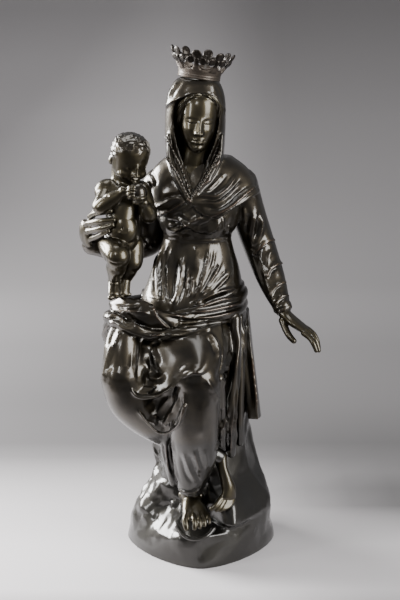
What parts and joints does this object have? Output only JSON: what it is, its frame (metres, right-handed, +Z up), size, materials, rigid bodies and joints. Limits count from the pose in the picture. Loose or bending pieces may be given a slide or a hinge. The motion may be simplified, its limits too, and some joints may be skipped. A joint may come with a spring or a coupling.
{
  "type": "madonna and child statue",
  "caption": "Patinated bronze statue of a veiled, seated woman who holds a small child on one arm, on a rock base, with an open crown of leaves.",
  "frame": {"origin": "middle of the rock's footprint, on the surface that the rock stands on", "axes": "+Z up through the figure, the figure faces -Y, +X is the figure's left hand side"},
  "size_m": [0.4087, 0.3595, 0.8876],
  "materials": {
    "statue_bronze": "cast bronze with a dark brown, waxed patina",
    "crown_bronze": "cast bronze with a thin, dull brown patina"
  },
  "bodies": {
    "root": {"madonna_and_child": "statue_bronze", "crown": "crown_bronze"}
  },
  "joints": []
}
